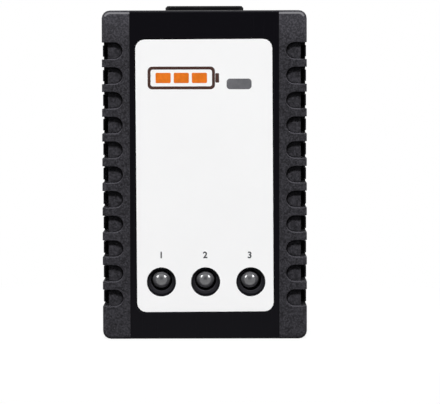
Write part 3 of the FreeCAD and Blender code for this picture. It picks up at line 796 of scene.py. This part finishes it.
FINISHES = (
    CasePlastic("textured_black_plastic", (0.0266, 0.0258, 0.0298), 0.58),
    LabelFilm("white_label", (0.93, 0.93, 0.932), 0.42),
    LensEpoxy("clear_epoxy", (0.088, 0.088, 0.093), 0.2),
    Metal("zinc_steel", (0.55, 0.55, 0.54), 0.3),
    Metal("nickel_brass", (0.72, 0.68, 0.60), 0.18),
    Metal("tinned_brass", (0.74, 0.72, 0.68), 0.24),
    Metal("tinned_steel", (0.62, 0.62, 0.61), 0.28),
    Metal("bare_aluminium", (0.72, 0.72, 0.73), 0.34, scratch=0.8),
    MouldedPlastic("black_nylon", (0.004, 0.004, 0.0045), 0.38, relief=0.000012, specular=0.08),
    MouldedPlastic("white_nylon", (0.78, 0.75, 0.66), 0.4, edge_light=1.1, relief=0.00001),
    MouldedPlastic("black_epoxy", (0.02, 0.02, 0.021), 0.5, relief=0.00003),
    MouldedPlastic("ceramic_body", (0.72, 0.66, 0.52), 0.3, edge_light=1.2, coat=0.4),
    MouldedPlastic("yellow_film_box", (0.68, 0.44, 0.05), 0.35, edge_light=1.2),
    MouldedPlastic("ferrite", (0.05, 0.05, 0.052), 0.62, grain=0.00022, relief=0.00005),
    MouldedPlastic("capacitor_sleeve", (0.015, 0.03, 0.09), 0.2, relief=0.000006, coat=0.3),
    MouldedPlastic("blue_ceramic", (0.04, 0.13, 0.42), 0.22, relief=0.00002, coat=0.5),
    Laminate("board_laminate", (0.02, 0.14, 0.05), 0.35),
    Wound("enamelled_copper", (0.52, 0.20, 0.07), 0.28),
    Wound("yellow_tape", (0.72, 0.52, 0.05), 0.3, turn=1.6 * MM),
)


@functools.cache
def finish_named(name: str) -> bpy.types.Material:
    """The material of the finish with this name, built once."""
    return next(finish for finish in FINISHES if finish.name == name).build()


@functools.cache
def ink_material(ink: Ink) -> bpy.types.Material:
    """The material of an ink, built once."""
    return ink.build()


# ---- mesh code ---------------------------------------------------------------------------------------

def link_piece(name: str, mesh: bpy.types.Mesh, material: bpy.types.Material) -> bpy.types.Object:
    """Put a mesh in the scene as a piece that rides on the body.

    Args:
        name: the piece's name.
        mesh: its mesh.
        material: its finish.

    Returns:
        The new object.
    """
    piece = bpy.data.objects.new(name, mesh)
    bpy.context.scene.collection.objects.link(piece)
    mesh.materials.clear()
    mesh.materials.append(material)
    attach(piece, "root")
    LOG.info("%s: %d vertices", name, len(mesh.vertices))
    return piece


def finished_mesh(name: str, work: bmesh.types.BMesh) -> bpy.types.Mesh:
    """Turn a work mesh into a mesh, and free it.

    Args:
        name: the mesh's name.
        work: the work mesh.

    Returns:
        The mesh.
    """
    mesh = bpy.data.meshes.new(name)
    work.to_mesh(mesh)
    work.free()
    return mesh


def turned_mesh(name: str, profile: list[Point], centre: Point, sides: int = 64) -> bpy.types.Mesh:
    """Surface of revolution about an axis along Y.

    Args:
        name: the mesh's name.
        profile: (radius, y) points from front to back, closed by its first and last point on the axis.
        centre: X and Z of the axis.
        sides: steps round the axis.

    Returns:
        A closed smooth mesh.
    """
    work = bmesh.new()
    line = [work.verts.new((r, y, 0.0)) for r, y in profile]
    edges = [work.edges.new(pair) for pair in zip(line, line[1:])]
    bmesh.ops.spin(work, geom=line + edges, cent=(0, 0, 0), axis=(0, 1, 0), angle=2 * math.pi, steps=sides,
                   use_merge=True, use_normal_flip=False)
    bmesh.ops.remove_doubles(work, verts=work.verts, dist=1e-7)
    bmesh.ops.translate(work, verts=work.verts, vec=(centre[0], 0.0, centre[1]))
    bmesh.ops.recalc_face_normals(work, faces=work.faces)
    mesh = finished_mesh(name, work)
    mesh.shade_smooth()
    mesh.set_sharp_from_angle(angle=math.radians(40))
    return mesh


def rounded_outline(centre: Point, size: Point, radius: float, steps: int = 8) -> list[Point]:
    """Corner points of a rounded rectangle.

    Args:
        centre: its middle.
        size: width and height.
        radius: corner radius.
        steps: steps per corner arc.

    Returns:
        The outline, counter-clockwise.
    """
    points = []
    half = (size[0] / 2 - radius, size[1] / 2 - radius)
    for corner, (sx, sz) in enumerate(((1, 1), (-1, 1), (-1, -1), (1, -1))):
        for i in range(steps + 1):
            angle = math.pi / 2 * (corner + i / steps)
            points.append((centre[0] + sx * half[0] + radius * math.cos(angle),
                           centre[1] + sz * half[1] + radius * math.sin(angle)))
    return points


def ink_mesh(name: str, curve: bpy.types.Curve, front: float, thickness: float) -> bpy.types.Mesh:
    """Turn a filled flat curve in X-Z into a thin closed layer on the label.

    Args:
        name: the mesh's name.
        curve: the filled curve, drawn in its own X-Y.
        front: Y of the label's face.
        thickness: thickness of the ink.

    Returns:
        The layer's mesh.
    """
    curve.extrude = thickness / 2
    holder = bpy.data.objects.new(name, curve)
    mesh = bpy.data.meshes.new_from_object(holder)
    bpy.data.objects.remove(holder)
    for vertex in mesh.vertices:
        x, z, y = vertex.co
        vertex.co = (x, front - thickness / 2 - y, z)
    work = bmesh.new()
    work.from_mesh(mesh)
    bmesh.ops.remove_doubles(work, verts=work.verts, dist=1e-7)
    bmesh.ops.recalc_face_normals(work, faces=work.faces)
    work.to_mesh(mesh)
    work.free()
    mesh.name = name
    return mesh


def filled_curve(name: str, loops: list[list[Point]]) -> bpy.types.Curve:
    """Flat curve filled between its outer and inner loops.

    Args:
        name: the curve's name.
        loops: closed outlines; one inside another is a hole.

    Returns:
        The curve.
    """
    curve = bpy.data.curves.new(name, "CURVE")
    curve.dimensions = "2D"
    curve.fill_mode = "BOTH"
    for loop in loops:
        spline = curve.splines.new("POLY")
        spline.points.add(len(loop) - 1)
        for point, (x, z) in zip(spline.points, loop):
            point.co = (x, z, 0.0, 1.0)
        spline.use_cyclic_u = True
    return curve


# ---- sub-assemblies ----------------------------------------------------------------------------------

@dataclass
class CadPieces:
    """The frame's own nodes that are shown as they are, each with its slot's finish."""

    slots: dict[str, str] = field(default_factory=dict)

    def __post_init__(self) -> None:
        """Read each node's material slot from the record."""
        for row in frame["record"]["subparts"]:
            self.slots[row["node"]] = row["material_slot"]

    def dress(self) -> None:
        """Give every node its finish."""
        for node, piece in frame["nodes"].items():
            piece.data.materials.clear()
            piece.data.materials.append(finish_named(self.slots[node]))
            LOG.info("%s: %s", node, self.slots[node])


@dataclass
class Lamp:
    """One indicator lamp: a smooth domed lens that stands for the frame's plain one."""

    number: int
    barrel_radius: float = 2.5 * MM
    rim_radius: float = 3.3 * MM
    rim_thickness: float = 1.0 * MM
    rim_slope: float = 0.06 * MM
    dome_steps: int = 14

    @property
    def node(self) -> str:
        """Name of the frame's lens node."""
        return f"lamp_lens_{self.number}"

    def profile(self, tip: float, base: float) -> list[Point]:
        """Half section of the lens.

        Args:
            tip: Y of the dome's tip.
            base: Y of the flat base.

        Returns:
            (radius, y) points from tip to base.
        """
        r = self.barrel_radius
        points = []
        for i in range(self.dome_steps + 1):
            angle = math.pi / 2 * i / self.dome_steps
            points.append((r * math.sin(angle), tip + r * (1 - math.cos(angle))))
        shoulder = base - self.rim_thickness
        rim = self.rim_radius
        return points + [(r, shoulder), (rim, shoulder + self.rim_slope), (rim, base), (0.0, base)]

    def build(self) -> None:
        """Make the lens where the frame's lens is."""
        low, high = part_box(self.node)
        axis = ((low.x + high.x) / 2, (low.z + high.z) / 2)
        name = f"domed_lens_{self.number}"
        mesh = turned_mesh(name, self.profile(low.y, high.y), axis)
        piece = link_piece(name, mesh, finish_named("clear_epoxy"))
        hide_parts(self.node)


class Sign(Enum):
    """The plain printed signs on the label."""

    BATTERY_CASE = "battery_case_print"
    BATTERY_CELLS = "battery_cells_print"
    PILL = "pill_print"
    NUMBER = "cell_number_print"


@dataclass
class LabelPrint:
    """Plain print on the label: a battery sign with a bar per cell, a blank pill and the cell numbers."""

    ink: float = 0.012 * MM
    sign_width: float = 18.4 * MM
    sign_height: float = 6.2 * MM
    sign_drop: float = 10.6 * MM
    sign_shift: float = -6.3 * MM
    pill_size: Point = (6.8 * MM, 2.9 * MM)
    number_height: float = 1.75 * MM
    number_rise: float = 6.7 * MM
    number_boldness: float = 0.07 * MM
    type_size_per_height: float = 1.4
    low: Vector = field(init=False)
    high: Vector = field(init=False)

    def __post_init__(self) -> None:
        """Read the label's place from the frame."""
        self.low, self.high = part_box("front_label")

    @property
    def sign_middle(self) -> Point:
        """Middle of the battery sign."""
        return (self.low.x + self.high.x) / 2 + self.sign_shift, self.high.z - self.sign_drop

    @property
    def wall(self) -> float:
        """Line thickness of the battery sign."""
        return self.sign_height * 0.13

    def print_sign(self, sign: Sign, curve: bpy.types.Curve, ink: Ink, extra: str = "") -> None:
        """Lay one printed sign on the label.

        Args:
            sign: which sign it is.
            curve: its filled outline.
            ink: the ink's finish.
            extra: end of the piece's name where a sign repeats.
        """
        name = sign.value + extra
        mesh = ink_mesh(name, curve, self.low.y, self.ink)
        link_piece(name, mesh, ink_material(ink))

    def battery_case(self) -> None:
        """Outline of the battery sign, with its pole on the right."""
        x, z = self.sign_middle
        w, h, wall = self.sign_width, self.sign_height, self.wall
        outer = rounded_outline((x, z), (w, h), h * 0.2)
        inner = rounded_outline((x, z), (w - 2 * wall, h - 2 * wall), h * 0.1)
        pole = rounded_outline((x + w / 2 + wall * 0.75, z), (wall * 1.3, h * 0.42), wall * 0.3)
        self.print_sign(Sign.BATTERY_CASE, filled_curve("case", [outer, inner, pole]), INK_DARK)

    def battery_cells(self) -> None:
        """One bar per cell inside the battery sign."""
        x, z = self.sign_middle
        room = self.sign_width - 4.4 * self.wall
        step = room / CELLS
        bar = (step * 0.84, self.sign_height - 4.2 * self.wall)
        bars = []
        for i in range(CELLS):
            middle = (x - room / 2 + step * (i + 0.5), z)
            bars.append(rounded_outline(middle, bar, self.sign_height * 0.06))
        self.print_sign(Sign.BATTERY_CELLS, filled_curve("cells", bars), INK_ORANGE)

    def pill(self) -> None:
        """Blank pill beside the battery sign, level with its foot."""
        x, z = self.sign_middle
        width, height = self.pill_size
        middle = (x + self.sign_width / 2 + self.wall + width * 0.85, z - self.sign_height / 2 + height / 2)
        shape = rounded_outline(middle, self.pill_size, height * 0.32)
        self.print_sign(Sign.PILL, filled_curve("pill", [shape]), INK_GREY)

    def numbers(self) -> None:
        """Cell number above each lamp."""
        for number in range(1, CELLS + 1):
            low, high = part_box(f"lamp_lens_{number}")
            text = bpy.data.curves.new("number", "FONT")
            text.body = str(number)
            text.align_x = "CENTER"
            text.align_y = "CENTER"
            text.size = self.number_height * self.type_size_per_height
            text.offset = self.number_boldness
            text.offset_x = (low.x + high.x) / 2
            text.offset_y = (low.z + high.z) / 2 + self.number_rise
            self.print_sign(Sign.NUMBER, text, INK_BLACK, f"_{number}")

    def build(self) -> None:
        """Lay all the print on the label."""
        self.battery_case()
        self.battery_cells()
        self.pill()
        self.numbers()


# ---- studio ------------------------------------------------------------------------------------------

@dataclass(frozen=True)
class Softbox:
    """Rectangular lamp that looks at the middle of the object, and either lights it or shows in its gloss."""

    name: str
    place: Place
    size: Point
    power: float
    glint: bool = False
    aim: Place = (0.0, 0.0, 0.045)

    def build(self) -> None:
        """Hang the lamp in its place."""
        data = bpy.data.lights.new(self.name, "AREA")
        data.shape = "RECTANGLE"
        data.size, data.size_y = self.size
        data.energy = self.power
        lamp = bpy.data.objects.new(self.name, data)
        lamp.visible_diffuse = not self.glint
        lamp.visible_glossy = self.glint
        lamp.location = self.place
        aim = Vector(self.aim) - Vector(self.place)
        lamp.rotation_euler = aim.to_track_quat("-Z", "Y").to_euler()
        bpy.context.scene.collection.objects.link(lamp)


SOFTBOXES = (
    Softbox("key", (0.0, -1.50, 1.70), (0.42, 0.32), 64.0),
    Softbox("side_left", (-0.45, 0.06, 0.22), (0.20, 0.30), 1.0),
    Softbox("side_right", (0.45, 0.06, 0.22), (0.20, 0.30), 1.0),
    Softbox("back_fill", (0.0, 0.50, 0.45), (0.30, 0.20), 2.5),
    Softbox("glint_left", (-0.31, -0.21, 0.26), (0.15, 0.20), 1.7, glint=True),
    Softbox("glint_right", (0.31, -0.21, 0.26), (0.15, 0.20), 1.7, glint=True),
)


@dataclass
class Studio:
    """Pale sweep, dark flag, softboxes, world and camera."""

    floor_front: float = -0.20
    floor_back: float = 0.55
    floor_half_width: float = 0.9
    floor_gap: float = 0.05 * MM
    sweep_radius: float = 0.25
    sweep_height: float = 0.9
    sweep_steps: int = 16
    paint: float = 0.80
    paint_bounce: float = 0.15
    white_share: float = 0.90
    shadow_near: float = 0.05
    shadow_far: float = 0.17
    flag_distance: float = 0.95
    flag_half_width: float = 0.35
    flag_bottom: float = -0.10
    flag_top: float = 0.70
    flag_tone: float = 0.03
    room_low: Colour = (0.03, 0.03, 0.033)
    room_high: Colour = (0.08, 0.08, 0.085)
    camera_distance: float = 0.70
    camera_height: float = 0.075
    aim_x: float = 4.2 * MM
    aim_z: float = 37.64 * MM
    view_width: float = 120.4 * MM
    roll: float = math.radians(-0.13)

    def set_up(self, name: str, work: bmesh.types.BMesh, material: bpy.types.Material) -> bpy.types.Object:
        """Put a piece of the studio in the scene, apart from the object's own pieces.

        Args:
            name: its name.
            work: its work mesh.
            material: its material.

        Returns:
            The new object.
        """
        mesh = finished_mesh(name, work)
        mesh.materials.append(material)
        piece = bpy.data.objects.new(name, mesh)
        bpy.context.scene.collection.objects.link(piece)
        return piece

    def sweep(self) -> None:
        """Floor that curves up into the backdrop."""
        work = bmesh.new()
        line = [(self.floor_front, -self.floor_gap)]
        for i in range(self.sweep_steps + 1):
            angle = math.pi / 2 * i / self.sweep_steps
            line.append((self.floor_back + self.sweep_radius * math.sin(angle),
                         self.sweep_radius * (1 - math.cos(angle)) - self.floor_gap))
        line.append((self.floor_back + self.sweep_radius, self.sweep_height))
        left = [work.verts.new((-self.floor_half_width, y, z)) for y, z in line]
        right = [work.verts.new((self.floor_half_width, y, z)) for y, z in line]
        for i in range(len(line) - 1):
            work.faces.new((left[i], right[i], right[i + 1], left[i + 1]))
        self.set_up("sweep", work, self.sweep_material()).data.shade_smooth()

    def sweep_material(self) -> bpy.types.Material:
        """White paint that looks whiter than it lights, keeps the object's shadow and is clear from below.

        Returns:
            The material.
        """
        material = bpy.data.materials.new("sweep_white")
        material.use_nodes = True
        graph = Graph(material.node_tree)
        seen = graph.seen()
        tone = graph.mix(seen, (self.paint_bounce,) * 3, (self.paint,) * 3)
        paint = graph.add("ShaderNodeBsdfDiffuse", Color=tone)
        white = graph.add("ShaderNodeEmission", Color=(1.0, 1.0, 1.0), Strength=1.0)
        reach = graph.add("ShaderNodeVectorMath", {"operation": "LENGTH"})
        graph.feed(reach.inputs[0], graph.place())
        share = graph.ramp(reach.outputs["Value"], self.shadow_near, self.shadow_far, self.white_share, 1.0)
        above = graph.add("ShaderNodeMixShader", Fac=graph.math("MULTIPLY", seen, share))
        graph.feed(above.inputs[1], paint.outputs[0])
        graph.feed(above.inputs[2], white.outputs[0])
        below = graph.add("ShaderNodeBsdfTransparent")
        side = graph.add("ShaderNodeMixShader", Fac=graph.add("ShaderNodeNewGeometry").outputs["Backfacing"])
        graph.feed(side.inputs[1], above.outputs[0])
        graph.feed(side.inputs[2], below.outputs[0])
        graph.output("ShaderNodeOutputMaterial", side.outputs[0])
        return material

    def flag(self) -> None:
        """Dark panel behind the camera, seen only in gloss, so that black plastic stays black."""
        work = bmesh.new()
        side, low, high = self.flag_half_width, self.flag_bottom, self.flag_top
        corners = ((-side, low), (side, low), (side, high), (-side, high))
        work.faces.new([work.verts.new((x, -self.flag_distance, z)) for x, z in corners])
        material = bpy.data.materials.new("flag_black")
        material.use_nodes = True
        graph = Graph(material.node_tree)
        cloth = graph.add("ShaderNodeBsdfDiffuse", Color=(self.flag_tone,) * 3)
        graph.output("ShaderNodeOutputMaterial", cloth.outputs[0])
        flag = self.set_up("flag", work, material)
        flag.visible_camera = False
        flag.visible_diffuse = False
        flag.visible_shadow = False

    def world(self) -> None:
        """Even soft surroundings, white where the camera or a reflection sees past the sweep."""
        world = bpy.data.worlds.new("studio")
        world.use_nodes = True
        bpy.context.scene.world = world
        graph = Graph(world.node_tree)
        upward = graph.axes(graph.add("ShaderNodeTexCoord").outputs["Generated"])["Z"]
        sky = graph.mix(graph.ramp(upward, 0.1, 0.9), self.room_low, self.room_high)
        room = graph.add("ShaderNodeBackground", Color=sky, Strength=1.0)
        white = graph.add("ShaderNodeBackground", Color=(1.0, 1.0, 1.0), Strength=1.0)
        pick = graph.add("ShaderNodeMixShader", Fac=graph.seen())
        graph.feed(pick.inputs[1], room.outputs[0])
        graph.feed(pick.inputs[2], white.outputs[0])
        graph.output("ShaderNodeOutputWorld", pick.outputs[0])

    def camera(self) -> None:
        """Camera in front of the label, a little above the middle and tipped down."""
        data = bpy.data.cameras.new("camera")
        camera = bpy.data.objects.new("camera", data)
        bpy.context.scene.collection.objects.link(camera)
        bpy.context.scene.camera = camera
        face = CAD_BOX[0].y
        camera.location = (self.aim_x, face - self.camera_distance, self.camera_height)
        aim = Vector((self.aim_x, face, self.aim_z)) - camera.location
        turn = aim.to_track_quat("-Z", "Y") @ Quaternion((0.0, 0.0, 1.0), self.roll)
        camera.rotation_euler = turn.to_euler()
        data.sensor_fit = "HORIZONTAL"
        data.lens = data.sensor_width * aim.length / self.view_width
        data.clip_start = 0.01
        data.clip_end = 20.0

    def build(self) -> None:
        """Set the whole studio up."""
        self.sweep()
        self.flag()
        for softbox in SOFTBOXES:
            softbox.build()
        self.world()
        self.camera()
        bpy.context.scene.view_settings.view_transform = "Standard"


def main() -> None:
    """Dress the frame's nodes, add the lamps and the print, and set up the studio."""
    logging.basicConfig(level=logging.INFO, format="%(name)s %(message)s")
    CadPieces().dress()
    for number in range(1, CELLS + 1):
        Lamp(number).build()
    LabelPrint().build()
    Studio().build()


if __name__ == "__main__":
    main()
